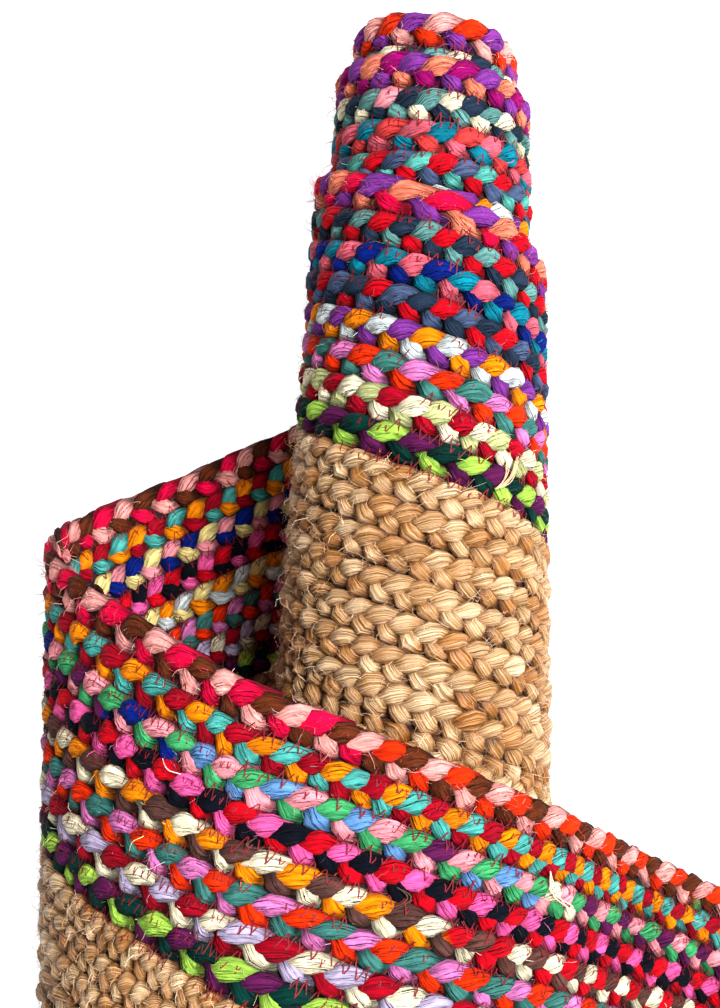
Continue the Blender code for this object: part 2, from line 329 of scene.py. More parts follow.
# On the lower long side the same joins come this much further along the rug
LOWER_SIDE_SHIFT = 0.17

# ---- the braids' rhythm
# Metres of a full braid cycle, three lobes, where none are listed
CYCLE = 0.043
JUTE_CYCLE = 0.040
# Where the first strip's edge lobes show, in metres of rug from its inner end, edge round first.
# The lobes of one tuple follow each other, and between tuples some may be hidden
LOBES = (
    (
        (0.218, 0.274), (0.5585, 0.605), (0.940, 1.008), (1.350, 1.406, 1.4655),
        (1.592, 1.653, 1.710, 1.756, 1.792, 1.829, 1.869, 1.910, 1.953, 1.992, 2.031, 2.083),
    ),
    (
        (0.5236, 0.563, 0.601, 0.640), (0.969, 1.005, 1.045), (1.370, 1.423, 1.473),
        (1.604, 1.663, 1.718, 1.763, 1.798, 1.830, 1.863, 1.898, 1.926, 1.954, 1.984, 2.011),
        (2.044, 2.086),
    ),
    (
        (0.542, 0.590, 0.637), (0.969, 1.012, 1.055), (1.350, 1.400, 1.450),
        (1.631, 1.694, 1.751, 1.794, 1.834, 1.879, 1.919, 1.950, 1.989, 2.026, 2.084),
    ),
    (
        (0.5555, 0.596, 0.637), (0.969, 1.010, 1.049), (1.406, 1.452),
        (1.606, 1.656, 1.709, 1.770, 1.809, 1.846, 1.886, 1.921, 1.953, 1.984, 2.021, 2.064),
        (2.114,),
    ),
    (
        (0.926, 0.966, 1.008, 1.049), (1.3655, 1.420),
        (1.628, 1.694, 1.762, 1.809, 1.847, 1.893, 1.931, 1.970, 2.001, 2.041, 2.080),
    ),
    (
        (0.934, 0.978, 1.028, 1.076), (1.420,), (1.642, 1.713, 1.777, 1.821, 1.8636, 1.911, 1.953),
    ),
    ((0.966, 1.005, 1.046, 1.082), (1.621, 1.694, 1.766, 1.819, 1.868)),
    ((0.957, 1.013, 1.063, 1.104), (1.670, 1.744, 1.807)),
)
# Share of a cycle from where a strand leaves the row's middle to its lobe's middle
LOBE_MIDDLE = 0.153
# Cycles are counted from this far before the rug's inner end to this far past its loose end
COUNTED_BEFORE = 0.1
COUNTED_PAST = 0.3

# Strands of each kind of braid, in metres: how far they swing to the side and up, half width and
# half thickness, how uneven they are, how far their edge lobes outrun the others in radians, how
# deep their folds are, the steps along them inside the roll, outside it and in the photo, and the
# powers that their painted shade takes red, green and blue by
COTTON_STRANDS = dict(
    side=0.0062, height=0.0021, half_width=0.0060, half_thickness=0.0032, uneven=0.12,
    bias=0.42, fold=0.17, steps=(0.010, 0.0058, 0.0031), deepened=(1.0, 1.0, 1.0),
)
JUTE_STRANDS = dict(
    side=0.0064, height=0.0024, half_width=0.0057, half_thickness=0.0032, uneven=0.22,
    bias=0.16, fold=0.10, steps=(0.013, 0.0078, 0.0032), deepened=(1.1, 1.5, 2.0),
)
# Points around a strand
RING = 9
# Where strands cross the row's middle they sink away from the edge by this much
MIDDLE_DROP = 0.0008
# The edge side of each braid stands over the braid beside it, and its lobes are wider
SHINGLE = 0.0007
EDGE_FULLER = 0.08
# A strand's width and thickness where it crosses another, as shares, and what its lobes add
CROSSING_WIDTH = 0.76
LOBE_WIDENS = 0.34
CROSSING_THICKNESS = 0.86
LOBE_THICKENS = 0.20
# Unevenness by hand: of the rhythm in radians, over this length, and of the place
RHYTHM_DRIFT = 0.10
DRIFT_STEP = 0.03
SIDE_DRIFT = 0.0006
HEIGHT_DRIFT = 0.0005
# It calms down this close to a round's join, so that its ends meet
JOINT_CALM = 0.02
# Lobes over which a strand's width and thickness change
WIDTH_LOBES = 0.9
THICKNESS_LOBES = 0.8
SLOPE_STEP = 0.0002
# Length of the folds that dent a strand
FOLD_STEP = 0.008
# Least height of the braids' surface off the rug's middle, between two strands
CROSSING_TOP = 0.001
# Depth of the cloth's patterns, as a share of their width
PATTERN_DEPTH = 0.8
# Shift of the patterns from round to round and from strand to strand
ROUND_SHIFT = 7.0
STRAND_SHIFT = 2.3
# Painted shade darkens the strands towards the braid's middle, where they sink between each other:
# the light left there, and from which share of the braid's height and over how much of it it clears
DEEP_SHADE = 0.20
SHADE_FROM = 0.14
SHADE_SPAN = 0.70
# How strongly a lobe is pleated, and how much that varies
PLEATED = 0.65
PLEATS_VARY = 0.35
# How much lighter or darker a cotton lobe may be
COTTON_TONES = 0.10
# Wandering values start this many steps before 0
KNOTS_BEFORE = 16.0
# First seeds of what is uneven, so that each strand has its own
LOBE_SEED = 5000
FOLD_SEED = 20000
PLEAT_SEED = 9000
TONE_SEED = 7000
STITCH_SEED = 400
RUN_SEED = 450
LOOSE_END_SEED = 41

# What the photo shows of the outside, as s from, s to and v to: the loose turn, the roll's outer
# turn and the steps of its inner turns
IN_PHOTO = ((0.02, 0.75, 0.24), (-0.48, -0.10, 0.44), (-3, -0.10, 0.09))
# What lies outside at all: s from this, or within this of the lower long edge
OUTER_TURN = -0.50
LOWER_END = 0.06
FAR = 3
VIEW_FADE = 0.02


def wander(seed, at, step):
    """Smooth seeded values from -1 to 1 that change about every step."""
    place = at / step + KNOTS_BEFORE
    knots = np.random.default_rng(seed).uniform(-1, 1, int(place.max()) + 3)
    i = place.astype(int)
    blend = (place - i) ** 2 * (3 - 2 * (place - i))
    return knots[i] * (1 - blend) + knots[i + 1] * blend


def closed_line(inset):
    """The rounded rectangle at this inset: metres along it, u, v and direction."""
    corner = max(OUTER_CORNER - inset, TIGHT_CORNER)
    long_side = LENGTH - 2 * (inset + corner)
    short_side = WIDTH - 2 * (inset + corner)
    metres, headings = [0.0], [0.0]
    us, vs = [inset + corner], [inset]
    half_step = math.pi / (4 * CORNER_STEPS)
    chord = 2 * corner * math.sin(half_step)
    for turn, side in enumerate((long_side, short_side, long_side, short_side)):
        heading = turn * math.pi / 2
        metres.append(metres[-1] + side)
        us.append(us[-1] + side * math.cos(heading))
        vs.append(vs[-1] + side * math.sin(heading))
        headings.append(heading)
        for k in range(1, CORNER_STEPS + 1):
            after = heading + k * math.pi / (2 * CORNER_STEPS)
            metres.append(metres[-1] + corner * math.pi / (2 * CORNER_STEPS))
            us.append(us[-1] + chord * math.cos(after - half_step))
            vs.append(vs[-1] + chord * math.sin(after - half_step))
            headings.append(after)
    return [np.array(column) for column in (metres, us, vs, headings)]


def on_line(line, t, side):
    """u and v at t metres along a closed line, side metres towards the rug's edge."""
    metres, us, vs, headings = line
    t = np.mod(t, metres[-1])
    u, v, heading = (np.interp(t, metres, column) for column in (us, vs, headings))
    return u + side * np.sin(heading), v - side * np.cos(heading)


def lobe_counts(lobes):
    """Places along the rug and the number of braid cycles there, counted through the lobes."""
    places, counts = [], []
    cycle = CYCLE if lobes else JUTE_CYCLE
    for turn in lobes:
        for i, place in enumerate(turn):
            step = 1 if i or not places else max(1, round((place - places[-1]) / cycle))
            counts.append((counts[-1] if counts else 0.0) + step)
            places.append(place)
    if not lobes:
        places, counts = [0.0, cycle], [0.0, 1.0]
    before = (places[0] + COUNTED_BEFORE) / cycle
    after = (LENGTH + COUNTED_PAST - places[-1]) / cycle
    marks = np.array([-COUNTED_BEFORE, *places, LENGTH + COUNTED_PAST])
    return marks, np.array([counts[0] - before, *counts, counts[-1] + after]) + LOBE_MIDDLE


class Round:
    """One braided round of the rug, laid along its closed line."""

    def __init__(self, number, inset, wide, lobes, size):
        self.number = number
        self.inset = inset
        self.wide = wide
        self.size = size
        self.line = closed_line(inset)
        self.length = self.line[0][-1]
        # Cycles are counted through the lobes along the upper side, and evened out from there on,
        # so that a whole number of them closes the round
        marks, counts = lobe_counts(lobes)
        t = np.arange(0, self.length, STEP)
        rates = np.diff(counts) / np.diff(marks)
        rate = np.interp(self.rug_place(t), (marks[1:] + marks[:-1]) / 2, rates)
        upper = t <= self.line[0][1]
        counted = np.interp(self.rug_place(t[upper]), marks, counts)
        rest = np.cumsum(rate[~upper]) * STEP
        gone = counted[-1] - counted[0]
        whole = round(gone + rest[-1])
        evened = counted[-1] + rest * (whole - gone) / rest[-1]
        self.marks = np.append(t, self.length)
        self.count = np.concatenate([counted, evened, [counted[0] + whole]])

    def rug_place(self, t):
        """Metres of rug from its inner end, for cycles and joins, shifted on the lower side."""
        u, v = on_line(self.line, t, 0.0)
        return u + LOWER_SIDE_SHIFT * (v - self.inset) / (WIDTH - 2 * self.inset)

    def middle(self, k, t):
        """The middle of strand k at t: phase, side and height off the round's line."""
        seed = 1000 * self.number + 10 * k
        calm = np.clip(np.minimum(t, self.length - t) / JOINT_CALM, 0, 1)
        phase = 2 * math.pi * (np.interp(t, self.marks, self.count) - k / 3)
        # A strand is longer on the edge side than on the other, so its edge lobes are fatter
        phase = phase + self.size["bias"] * np.cos(phase)
        phase = phase + RHYTHM_DRIFT * calm * wander(seed, t, DRIFT_STEP)
        lobe = phase / math.pi
        side = self.size["side"] * self.wide * np.sin(phase) - MIDDLE_DROP * np.cos(phase) ** 2
        side = side + SIDE_DRIFT * calm * wander(seed + 1, lobe, 1.0)
        height = self.size["height"] * np.sin(2 * phase) + SHINGLE * np.sin(phase)
        height = height + HEIGHT_DRIFT * calm * wander(seed + 2, lobe, 1.0)
        return phase, side, height

    def strand(self, k, t):
        """Strand k at t: phase, side, height, their slopes, half width and half thickness."""
        phase, side, height = self.middle(k, t)
        _, side_on, height_on = self.middle(k, t + SLOPE_STEP)
        side_slope = (side_on - side) / SLOPE_STEP
        height_slope = (height_on - height) / SLOPE_STEP
        seed = LOBE_SEED + 1000 * self.number + 10 * k
        lobe = phase / math.pi
        full = np.sin(2 * phase) ** 2
        uneven = self.size["uneven"]
        width = self.size["half_width"] * (CROSSING_WIDTH + LOBE_WIDENS * full)
        width = width * (1 + uneven * wander(seed, lobe, WIDTH_LOBES))
        width = width * (0.5 + 0.5 * self.wide) * (1 + EDGE_FULLER * np.sin(phase))
        thick = self.size["half_thickness"] * (CROSSING_THICKNESS + LOBE_THICKENS * full)
        thick = thick * (1 + uneven * wander(seed + 1, lobe, THICKNESS_LOBES))
        return phase, side, height, side_slope, height_slope, width, thick

    def top(self, t, side, face):
        """How far the braid's surface stands off the rug's middle, on its front or back face."""
        best = np.full(np.shape(t), CROSSING_TOP)
        for k in range(3):
            _, middle, height, slope, _, width, thick = self.strand(k, t)
            off = (side - middle) / (width * np.sqrt(1 + slope**2))
            dome = face * height + thick * np.sqrt(np.clip(1 - off**2, 0, 1))
            best = np.where(np.abs(off) < 1, np.maximum(best, dome), best)
        return best


def between(value, low, high):
    """1 between two limits, and fading to 0 at them."""
    return np.clip((value - low) / VIEW_FADE, 0, 1) * np.clip((high - value) / VIEW_FADE, 0, 1)


def in_view(s, v):
    """How closely a place is seen: 1 in the photo, 0.5 elsewhere outside, 0 inside the roll."""
    shown = [between(s, low, high) * between(v, -1, deep) for low, high, deep in IN_PHOTO]
    outside = np.maximum(between(s, OUTER_TURN, FAR), between(v, WIDTH - LOWER_END, FAR))
    return np.maximum(np.maximum.reduce(shown), 0.5 * outside)


def places_along(round_):
    """Places along a round, close together where it is seen and further apart inside the roll."""
    t = np.arange(0, round_.length, STEP)
    u, v = on_line(round_.line, t, 0.0)
    s, _ = spread(u, v)
    count = np.cumsum(STEP / np.interp(in_view(s, v), (0, 0.5, 1), round_.size["steps"]))
    return np.interp(np.linspace(0, count[-1], int(count[-1]) + 1)[:-1], count, t)


def strand_tube(round_, k, t):
    """A strand as rings of points around its middle: the points, their places on the strand, the
    phase of each ring and the shade at each point."""
    phase, side, height, side_slope, height_slope, width, thick = round_.strand(k, t)
    size = round_.size
    norm = np.sqrt(1 + side_slope**2)
    full = np.sqrt(norm**2 + height_slope**2)
    angle = np.linspace(0, 2 * math.pi, RING, endpoint=False)
    seed = FOLD_SEED + 1000 * round_.number + 100 * k
    uneven = np.stack([wander(seed + j, t, FOLD_STEP) for j in range(RING)], -1)
    folds = 1 + size["fold"] * uneven
    across = width[:, None] * np.cos(angle) * folds
    up = thick[:, None] * np.sin(angle) * folds
    # The width lies in the rug's plane, square to the strand; the thickness leans with it
    lean = (height_slope / (full * norm))[:, None]
    along_off = -across * (side_slope / norm)[:, None] - up * lean
    side_off = across / norm[:, None] - up * lean * side_slope[:, None]
    up_off = up * (norm / full)[:, None]
    u, v = on_line(round_.line, t[:, None] + along_off, side[:, None] + side_off)
    points = rolled(u, v, height[:, None] + up_off)
    run = np.concatenate([[0], np.cumsum(np.diff(t) * full[:-1])])
    wide = np.cos(angle) * size["half_width"]
    deep = np.sin(angle) * size["half_width"] * PATTERN_DEPTH
    on_strand = np.stack(np.broadcast_arrays(run[:, None], wide, deep), -1)
    # Painted shade: each point is darker the nearer it lies to the braid's middle
    standing = np.abs(height[:, None] + up_off) / (size["height"] + size["half_thickness"])
    standing = np.clip((standing - SHADE_FROM) / SHADE_SPAN, 0, 1)
    shade = DEEP_SHADE + (1 - DEEP_SHADE) * standing**2 * (3 - 2 * standing)
    return points, on_strand, phase, shade


def tube_faces(rings, start):
    """Quads of a closed tube of rings of points."""
    i = np.arange(rings)[:, None]
    j = np.arange(RING)[None, :]
    here, there = i * RING, ((i + 1) % rings) * RING
    after = (j + 1) % RING
    return start + np.stack([here + j, here + after, there + after, there + j], -1).reshape(-1, 4)


def joined_mesh(name, points, faces, colours, on_strand=None, pleats=None):
    """One mesh object from arrays of points, four-sided faces and what its points carry."""
    mesh = bpy.data.meshes.new(name)
    mesh.vertices.add(len(points))
    mesh.vertices.foreach_set("co", points.astype(np.float32).ravel())
    mesh.loops.add(faces.size)
    mesh.loops.foreach_set("vertex_index", faces.astype(np.int32).ravel())
    mesh.polygons.add(len(faces))
    mesh.polygons.foreach_set("loop_start", np.arange(0, faces.size, 4, dtype=np.int32))
    mesh.polygons.foreach_set("use_smooth", np.ones(len(faces), bool))
    mesh.update(calc_edges=True)
    dye = mesh.color_attributes.new("dye", "FLOAT_COLOR", "POINT")
    rgba = np.concatenate([colours, np.ones((len(colours), 1))], 1)
    dye.data.foreach_set("color", rgba.astype(np.float32).ravel())
    if on_strand is not None:
        place = mesh.attributes.new("on_strand", "FLOAT_VECTOR", "POINT")
        place.data.foreach_set("vector", on_strand.astype(np.float32).ravel())
    if pleats is not None:
        strength = mesh.attributes.new("pleats", "FLOAT", "POINT")
        strength.data.foreach_set("value", pleats.astype(np.float32))
    piece = bpy.data.objects.new(name, mesh)
    scene.collection.objects.link(piece)
    return piece


def braid_mesh(name, rounds, colours_of):
    """The strands of some rounds as one mesh."""
    points, faces, colours, places, pleats = [], [], [], [], []
    start = 0
    for round_ in rounds:
        t = places_along(round_)
        for k in range(3):
            tube, on_strand, phase, shade = strand_tube(round_, k, t)
            shift = [ROUND_SHIFT * round_.number + STRAND_SHIFT * k, 0, 0]
            points.append(tube.reshape(-1, 3))
            places.append(on_strand.reshape(-1, 3) + shift)
            faces.append(tube_faces(len(t), start))
            dyed = np.repeat(colours_of(round_, k, t, phase), RING, 0)
            # The painted shade darkens the dye, and its powers make it warmer on the jute
            colours.append(dyed * shade.reshape(-1, 1) ** round_.size["deepened"])
            varied = wander(PLEAT_SEED + 100 * round_.number + k, phase / math.pi, 1.0)
            pleats.append(np.repeat(PLEATED + PLEATS_VARY * varied, RING))
            start += len(t) * RING
    return joined_mesh(name, *(np.concatenate(p) for p in (points, faces, colours, places, pleats)))


def ribbon_mesh(name, strips, colours):
    """Threads as flat ribbons in one mesh. Each strip is an array (ribbon, place, side, xyz), with
    an array of colours (ribbon, rgb)."""
    faces = []
    start = 0
    for strip in strips:
        ribbons, places = strip.shape[:2]
        ribbon, place = np.meshgrid(np.arange(ribbons), np.arange(places - 1), indexing="ij")
        a = (start + 2 * (ribbon * places + place)).ravel()
        faces.append(np.stack([a, a + 1, a + 3, a + 2], -1))
        start += 2 * ribbons * places
    points = [strip.reshape(-1, 3) for strip in strips]
    dyed = [np.repeat(dye, 2 * strip.shape[1], 0) for strip, dye in zip(strips, colours)]
    return joined_mesh(name, *(np.concatenate(p) for p in (points, faces, dyed)))


# ---- materials
def new_material(name):
    """An empty material with nodes, and its node tree."""
    material = bpy.data.materials.new(name)
    material.use_nodes = True
    material.node_tree.nodes.clear()
    return material, material.node_tree


def add(tree, kind, settings=None, **sockets):
    """A node of a kind, with its settings. Each socket is set to a value, or linked to a socket or
    to a node's first output. Sockets that share one name are written in_0 and in_1."""
    node = tree.nodes.new("ShaderNode" + kind)
    for key, value in (settings or {}).items():
        setattr(node, key, value)
    for key, value in sockets.items():
        socket = node.inputs[int(key[3:]) if key.startswith("in_") else key.replace("_", " ")]
        if isinstance(value, bpy.types.Node):
            value = value.outputs[0]
        if isinstance(value, bpy.types.NodeSocket):
            tree.links.new(value, socket)
        else:
            socket.default_value = value
    return node


def creases(tree, pattern, reach, deep):
    """Lines where a noise pattern crosses its middle: deep on the line, and 1 from reach on."""
    off = add(tree, "Math", {"operation": "SUBTRACT"}, in_0=pattern, in_1=0.5)
    away = add(tree, "Math", {"operation": "ABSOLUTE"}, in_0=off)
    smooth = {"interpolation_type": "SMOOTHSTEP"}
    return add(tree, "MapRange", smooth, Value=away, From_Max=reach, To_Min=deep)


def cotton_rag():
    """Cotton jersey rag, torn in strips, dyed and folded: matt, with sharp folds along the strip
    and a faint fuzz that lightens its edges."""
    material, tree = new_material("dyed_cotton_rag")
    dye = add(tree, "Attribute", {"attribute_name": "dye"})
    place = add(tree, "Attribute", {"attribute_name": "on_strand"}).outputs["Vector"]
    pleats = add(tree, "Attribute", {"attribute_name": "pleats"}).outputs["Fac"]
    # Folds 3 mm apart that run 25 mm along the strip, with painted shade darkening the creases
    # between them
    along = add(tree, "Mapping", Vector=place, Scale=(1000 / 25, 1000 / 3, 1000 / 3))
    fold = add(tree, "TexNoise", Vector=along, Scale=1.0, Detail=1.5)
    crease = creases(tree, fold, 0.110, 0.0)
    dark = add(tree, "MapRange", Value=crease, To_Min=0.68, To_Max=1.08)
    # Finer wrinkles 0.9 mm apart and 5.5 mm long, with lighter painted shade along them
    fine = add(tree, "Mapping", Vector=place, Scale=(1000 / 5.5, 1000 / 0.9, 1000 / 0.9))
    wrinkle = add(tree, "TexNoise", Vector=fine, Scale=1.0, Roughness=0.6)
    pucker = creases(tree, wrinkle, 0.090, 0.80)
    # Uneven dye, in patches 6 mm across
    patch = add(tree, "TexNoise", Vector=place, Scale=1000 / 6, Detail=3.0)
    tone = add(tree, "MapRange", Value=patch, From_Min=0.3, From_Max=0.7, To_Min=0.84, To_Max=1.16)
    # Uneven dye, times the painted shade of the creases and of the wrinkles
    shade = add(tree, "Math", {"operation": "MULTIPLY"}, in_0=tone, in_1=dark)
    creased = add(tree, "Math", {"operation": "MULTIPLY"}, in_0=shade, in_1=pucker)
    colour = add(tree, "HueSaturation", Saturation=1.08, Value=creased, Color=dye)
    # Creases 0.9 mm deep, folds about 2 mm high between them and wrinkles about 0.4 mm high
    deep = add(tree, "Bump", Strength=pleats, Distance=0.0009, Height=crease)
    wave = add(tree, "Bump", Distance=0.0052, Height=fold, Normal=deep)
    shallow = add(tree, "Bump", Strength=0.8, Distance=0.0014, Height=wrinkle, Normal=wave)
    cloth = add(
        tree,
        "BsdfPrincipled",
        Base_Color=colour,
        Roughness=0.72,
        Specular_IOR_Level=0.06,
        Sheen_Weight=0.02,
        Sheen_Roughness=0.45,
        Normal=shallow,
    )
    add(tree, "OutputMaterial", Surface=cloth)
    return material


def jute_yarn():
    """Retted jute, combed and braided in hanks: golden straw fibres of uneven tone with a dull
    gloss, with painted shade in the dark lines between them and painted glints on them."""
    material, tree = new_material("braided_jute_hank")
    dye = add(tree, "Attribute", {"attribute_name": "dye"})
    place = add(tree, "Attribute", {"attribute_name": "on_strand"}).outputs["Vector"]
    # Fibre bundles 0.4 mm thick that run 30 mm along the hank, coarser than single fibres
    along = add(tree, "Mapping", Vector=place, Scale=(1000 / 30, 1000 / 0.4, 1000 / 0.4))
    fibre = add(tree, "TexNoise", Vector=along, Scale=1.0, Detail=2.5, Roughness=0.6)
    # Fibre bundles differ in tone, and this also paints shade between them and glints on them
    line = add(tree, "MapRange", Value=fibre, From_Min=0.36, From_Max=0.62, To_Min=0.26, To_Max=1.34)
    # Hanks of fibre 1.8 mm thick that run 55 mm
    broad = add(tree, "Mapping", Vector=place, Scale=(1000 / 55, 1000 / 1.8, 1000 / 1.8))
    hank = add(tree, "TexNoise", Vector=broad, Scale=1.0)
    tone = add(tree, "MapRange", Value=hank, From_Min=0.3, From_Max=0.7, To_Min=0.58, To_Max=1.30)
    shade = add(tree, "Math", {"operation": "MULTIPLY"}, in_0=tone, in_1=line)
    # The painted shade in the lines between the fibres is a warmer brown
    warm = add(tree, "MapRange", Value=shade, From_Min=0.3, From_Max=1.1, To_Min=1.45, To_Max=1.04)
    colour = add(tree, "HueSaturation", Saturation=warm, Value=shade, Color=dye)
    # Bundles stand about 0.4 mm high and hanks about 1 mm
    rough = add(tree, "Bump", Distance=0.0011, Height=fibre)
    swell = add(tree, "Bump", Distance=0.0025, Height=hank, Normal=rough)
    straw = add(
        tree,
        "BsdfPrincipled",
        Base_Color=colour,
        Roughness=0.38,
        Specular_IOR_Level=0.40,
        Sheen_Weight=0.04,
        Sheen_Roughness=0.4,
        Normal=swell,
    )
    add(tree, "OutputMaterial", Surface=straw)
    return material


def plain_cloth(name, roughness):
    """Spun thread or loose fibre in its own dye, or the dark sheet of painted shade in the braids'
    middle: matt, a little lighter and darker where the yarn turns."""
    material, tree = new_material(name)
    dye = add(tree, "Attribute", {"attribute_name": "dye"})
    # Turns of the yarn, drawn 1.2 mm apart, as the real ones are too fine to show
    place = add(tree, "TexCoord").outputs["Object"]
    turns = add(tree, "TexNoise", Vector=place, Scale=1000 / 1.2, Detail=1.0)
    tone = add(tree, "MapRange", Value=turns, From_Min=0.3, From_Max=0.7, To_Min=0.78, To_Max=1.16)
    colour = add(tree, "HueSaturation", Value=tone, Color=dye)
    yarn = add(
        tree, "BsdfPrincipled", Base_Color=colour, Roughness=roughness, Specular_IOR_Level=0.2
    )
    add(tree, "OutputMaterial", Surface=yarn)
    return material


# ---- the braids
def strip_colours(strip, place):
    """Linear colour of one strip of cloth along the rug, with its joins."""
    first, *joins = strip
    colours = np.tile(linear(DYES[first]), (len(place), 1))
    for start, dye in joins:
        colours[place >= start] = linear(DYES[dye])
    return colours


def cotton_colours(round_, k, t, phase):
    """Dye of a cotton strand, a little lighter or darker from lobe to lobe."""
    colours = strip_colours(STRIPS[round_.number][k], round_.rug_place(t))
    lobe = wander(TONE_SEED + 100 * round_.number + k, phase / math.pi, 1.0)
    return colours * (1 + COTTON_TONES * lobe)[:, None]


def jute_colours(round_, k, t, phase):
    """Straw of a jute hank, between golden and brown from lobe to lobe."""
    lobe = wander(TONE_SEED + 100 * round_.number + k, phase / math.pi, 1.0)[:, None]
    brown, gold = np.array(linear(JUTE_BROWN)), np.array(linear(JUTE_GOLD))
    return brown + (gold - brown) * (0.5 + 0.5 * lobe)


cotton = []
for i in range(COTTON_ROUNDS):
    inset = (i + 0.5) * ROW if i else EDGE_BRAID_INSET
    cotton.append(Round(i, inset, 1.0 if i else EDGE_BRAID, LOBES[i], COTTON_STRANDS))
jute = []
for i in range(COTTON_ROUNDS, COTTON_ROUNDS + JUTE_ROUNDS):
    inmost = i == COTTON_ROUNDS + JUTE_ROUNDS - 1
    jute.append(Round(i, (i + 0.5) * ROW, INMOST_BRAID if inmost else 1.0, (), JUTE_STRANDS))

rag = cotton_rag()
for round_ in cotton:
    piece = braid_mesh(f"cotton_braid_{round_.number + 1}", [round_], cotton_colours)
    piece.data.materials.append(rag)
    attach(piece, "root")
    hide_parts(f"cotton_round_{round_.number + 1}")

straw = jute_yarn()
for name, rounds in (("jute_braids_outer", jute[:3]), ("jute_braids_inner", jute[3:])):
    piece = braid_mesh(name, rounds, jute_colours)
    piece.data.materials.append(straw)
    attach(piece, "root")
    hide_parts("jute_field")

# ---- the sewing thread, in metres
STITCH_PITCH = 0.0056
# The stitches on the back are longer
BACK_PITCH = 1.3 * STITCH_PITCH
STITCH_REACH = 0.0048
REACH_VARIES = (0.65, 1.2)
STITCH_SLIP = 0.0009
STITCH_PLACES = 4
THREAD_HALF_WIDTH = 0.00030
THREAD_LIFT = 0.0005
LIFT_VARIES = (0.2, 1.3)
# The thread shows in runs about this long, where a wandering value is over this
RUN_STEP = 0.022
RUN_OVER = -0.45
# Stitches are made where their face is bare: the front from this far along the section, or this
# far in on the steps of the inner turns, and the back from this far along the section
BARE_FRONT = -0.48
BARE_STEPS = 0.07
BARE_BACK = 0.06


def surface_off(seam, rounds, line, t, side, face):
    """Height of the braids' surface at points beside a seam, on its straight runs."""
    u, v = on_line(line, t, side)
    heading = np.interp(np.mod(t, line[0][-1]), line[0], line[3])
    quarter = np.round(heading / (math.pi / 2)).astype(int) % 4
    firsts = quarter * (CORNER_STEPS + 1)
    way_u = np.array([1, 0, -1, 0])[quarter]
    way_v = np.array([0, 1, 0, -1])[quarter]
    off = np.zeros(np.shape(t))
    for round_, here in ((rounds[seam - 1], side >= 0), (rounds[seam], side < 0)):
        metres, us, vs, _ = round_.line
        along = (u - us[firsts]) * way_u + (v - vs[firsts]) * way_v
        beside = (u - us[firsts]) * way_v - (v - vs[firsts]) * way_u
        height = round_.top(metres[firsts] + along, beside, face)
        off = np.where(here, height, off)
    return off


def stitches(seam, rounds, face, pitch):
    """The zigzag over one seam on one face, a ribbon for each leg: leg, place, side, xyz."""
    line = closed_line(seam * ROW)
    length = line[0][-1]
    legs = int(length / pitch * 2)
    at = (np.arange(legs) + 0.5) * length / legs
    u, v = on_line(line, at, 0.0)
    s, _ = spread(u, v)
    corner = max(OUTER_CORNER - seam * ROW + ROW / 2, TIGHT_CORNER) + seam * ROW + ROW
    straight = np.abs(u - LENGTH / 2) < LENGTH / 2 - corner
    straight |= np.abs(v - WIDTH / 2) < WIDTH / 2 - corner
    bare = (s > BARE_FRONT) | (v < BARE_STEPS) if face > 0 else s > BARE_BACK
    shown = wander(RUN_SEED + seam + 50 * face, at, RUN_STEP) > RUN_OVER
    legs_at = np.nonzero(straight & bare & shown)[0]
    share = np.linspace(0, 1, STITCH_PLACES)
    rng = np.random.default_rng(STITCH_SEED + seam + 50 * face)
    reach = STITCH_REACH * rng.uniform(*REACH_VARIES, legs + 1)
    slip = STITCH_SLIP * rng.uniform(-1, 1, legs + 1)
    way = np.where(legs_at % 2 == 0, 1.0, -1.0)[:, None]
    first = -way * reach[legs_at][:, None]
    last = way * reach[legs_at + 1][:, None]
    side = first + (last - first) * share
    half = length / legs / 2
    t = at[legs_at][:, None] + half * (2 * share - 1) + slip[legs_at][:, None]
    off = surface_off(seam, rounds, line, t, side, face)
    off = off + THREAD_LIFT * rng.uniform(*LIFT_VARIES, (len(legs_at), 1))
    # Half the thread's width, square to the leg
    run, cross = 2 * half, last - first
    square = np.sqrt(run**2 + cross**2)
    edge_t, edge_side = THREAD_HALF_WIDTH * cross / square, -THREAD_HALF_WIDTH * run / square
    sides = []
    for out in (1, -1):
        u, v = on_line(line, t + out * edge_t, side + out * edge_side)
        sides.append(rolled(u, v, face * off))
    return np.stack(sides, 2)


def red_seams():
    """Zigzag of red sewing thread over each seam between cotton braids, on both faces."""
    rounds = cotton + jute[:1]
    strips = []
    for seam in range(1, len(rounds)):
        strips.append(stitches(seam, rounds, 1, STITCH_PITCH))
        strips.append(stitches(seam, rounds, -1, BACK_PITCH))
    colours = [np.tile(linear(THREAD_RED), (len(strip), 1)) for strip in strips]
    return ribbon_mesh("red_seam_thread", strips, colours)


thread = red_seams()
thread.data.materials.append(plain_cloth("red_sewing_thread", 0.6))
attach(thread, "root")

# ---- frays and loose ends, in metres
# Kinds of fray: name, rounds, places tried on each strand, length, width, lift as a share of the
# length, colours and seed
FRAYS = (
    ("frayed_cotton_ends", cotton, 3200, 0.0045, 0.00032, 0.8, cotton_colours, 31),
    ("ragged_edge_ends", cotton[:1], 12000, 0.0060, 0.00030, 0.8, cotton_colours, 33),
    ("loose_jute_fibres", jute, 12400, 0.0080, 0.00026, 0.5, jute_colours, 32),
)
# Share of those that is kept in the photo's view, and wherever the outside shows
KEPT_IN_PHOTO = 0.35
KEPT_OUTSIDE = 0.02
FRONT_SHARE = 0.7
# Frays start at this share of the strand's thickness
ROOTED = 0.95
FRAY_PLACES = 3
FRAY_SIZES = (0.4, 1.6)
FRAY_CURL = 1.6
FRAY_RISES = (0.1, 1.0)
FRAY_TAPER = 0.6
# Some ends are bleached and some darker than their strand
BLEACHED = 0.04
FRAY_TONES = (0.55, 1.35)

